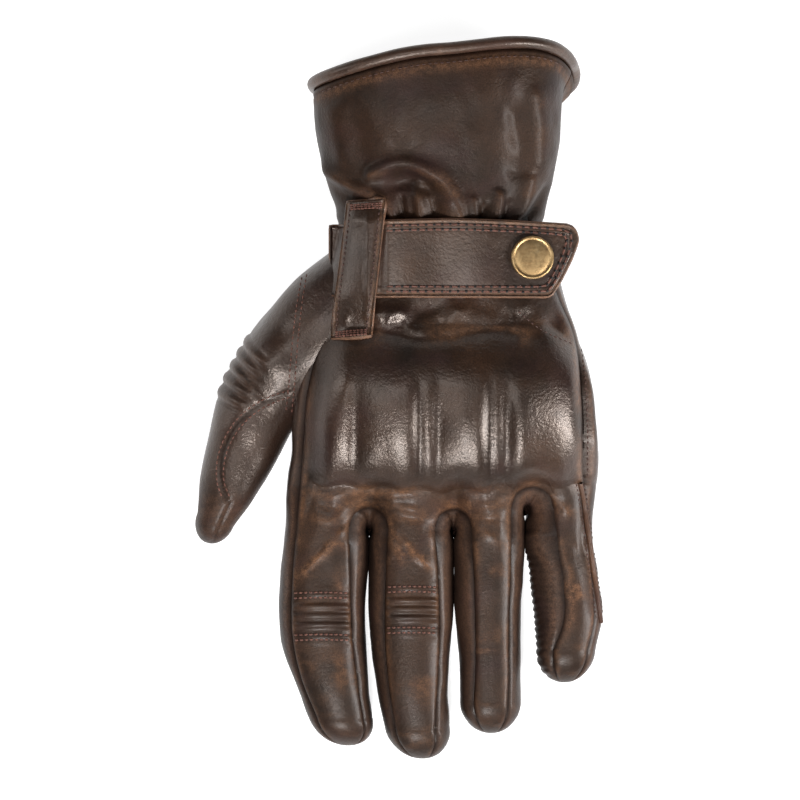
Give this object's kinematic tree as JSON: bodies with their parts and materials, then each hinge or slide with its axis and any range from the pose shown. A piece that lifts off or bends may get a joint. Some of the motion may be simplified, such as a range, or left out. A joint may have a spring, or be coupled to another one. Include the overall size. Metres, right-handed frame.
{
  "type": "riding glove",
  "caption": "Left-hand short-cuff leather riding glove with a moulded knuckle guard, ribbed stretch panels, and a wrist strap that closes on a press stud.",
  "frame": {"origin": "on the surface the glove lies on, under the middle of its outline", "axes": "+Z out of the back of the hand, -Y towards the fingertips, +Y towards the cuff, -X towards the thumb; the palm lies on z = 0"},
  "size_m": [0.1421, 0.2519, 0.0679],
  "materials": {
    "hide": "waxed, worn",
    "lining_fabric": "matte",
    "foam": "matte",
    "armour_shell": "matte",
    "elastic": "matte",
    "aged_brass": "aged",
    "stud_steel": "dull"
  },
  "bodies": {
    "hand": {"back_panel": "hide", "little_side_panel": "hide", "index_side_panel": "hide", "wrist_side_panel": "hide", "palm_panel": "hide", "hand_lining": "lining_fabric", "wrist_elastic": "elastic", "knuckle_armour": "armour_shell", "armour_foam": "foam", "palm_patch": "hide", "palm_pad": "foam", "thumb_base_back": "hide", "thumb_base_palm": "hide", "strap_anchor": "hide", "strap_keeper": "hide", "snap_stud": "stud_steel", "snap_post": "stud_steel"},
    "finger_row": {"finger_backs": "hide", "finger_palms": "hide", "fourchette_index_middle": "hide", "fourchette_middle_ring": "hide", "fourchette_ring_little": "hide", "index_outer_wall": "hide", "little_outer_wall": "hide"},
    "index_finger": {"index_tip_back": "hide", "index_tip_palm": "hide", "index_wall_thumb_side": "hide", "index_wall_little_side": "hide", "index_accordion": "hide", "index_inner_fold": "hide"},
    "middle_finger": {"middle_tip_back": "hide", "middle_tip_palm": "hide", "middle_wall_thumb_side": "hide", "middle_wall_little_side": "hide", "middle_accordion": "hide", "middle_inner_fold": "hide"},
    "ring_finger": {"ring_tip_back": "hide", "ring_tip_palm": "hide", "ring_wall_thumb_side": "hide", "ring_wall_little_side": "hide", "ring_inner_fold": "hide"},
    "little_finger": {"little_tip_back": "hide", "little_tip_palm": "hide", "little_wall_thumb_side": "hide", "little_wall_little_side": "hide", "little_inner_fold": "hide"},
    "thumb": {"thumb_tip_back": "hide", "thumb_tip_palm": "hide"},
    "strap": {"strap": "hide", "snap_cap": "aged_brass", "snap_socket": "stud_steel", "snap_spring": "stud_steel"},
    "cuff": {"cuff_back": "hide", "cuff_palm": "hide", "cuff_lining": "lining_fabric", "cuff_piping": "hide"}
  },
  "joints": [
    {"name": "knuckle_fold", "type": "hinge", "parent": "hand", "child": "finger_row", "pos_m": [0.015, -0.031, 0.017], "axis": [1, 0, 0], "range_deg": [0, 45], "stiffness_Nm_per_rad": 0.9},
    {"name": "index_bend", "type": "hinge", "parent": "finger_row", "child": "index_finger", "pos_m": [-0.0272, -0.075, 0.0124], "axis": [1, 0, 0], "range_deg": [0, 70], "stiffness_Nm_per_rad": 0.12, "deforming": ["index_accordion", "index_inner_fold"]},
    {"name": "middle_bend", "type": "hinge", "parent": "finger_row", "child": "middle_finger", "pos_m": [0.0041, -0.074, 0.0128], "axis": [1, 0, 0], "range_deg": [0, 70], "stiffness_Nm_per_rad": 0.12, "deforming": ["middle_accordion", "middle_inner_fold"]},
    {"name": "ring_bend", "type": "hinge", "parent": "finger_row", "child": "ring_finger", "pos_m": [0.0313, -0.069, 0.01251], "axis": [1, 0, 0], "range_deg": [0, 70], "stiffness_Nm_per_rad": 0.12, "deforming": ["ring_inner_fold"]},
    {"name": "little_bend", "type": "hinge", "parent": "finger_row", "child": "little_finger", "pos_m": [0.0583, -0.061, 0.0117], "axis": [1, 0, 0], "range_deg": [0, 70], "stiffness_Nm_per_rad": 0.12, "deforming": ["little_inner_fold"]},
    {"name": "thumb_bend", "type": "hinge", "parent": "hand", "child": "thumb", "pos_m": [-0.0516, -0.006, 0.016], "axis": [0.9296, -0.3251, 0.1736], "range_deg": [0, 35], "stiffness_Nm_per_rad": 0.15},
    {"name": "strap_lift", "type": "hinge", "parent": "hand", "child": "strap", "pos_m": [-0.0048, 0.0486, 0.05042], "axis": [0, -1, 0], "range_deg": [0, 90]},
    {"name": "wrist_fold", "type": "hinge", "parent": "hand", "child": "cuff", "pos_m": [0.014, 0.076, 0.028], "axis": [1, 0, 0], "range_deg": [-20, 20], "stiffness_Nm_per_rad": 0.8}
  ]
}
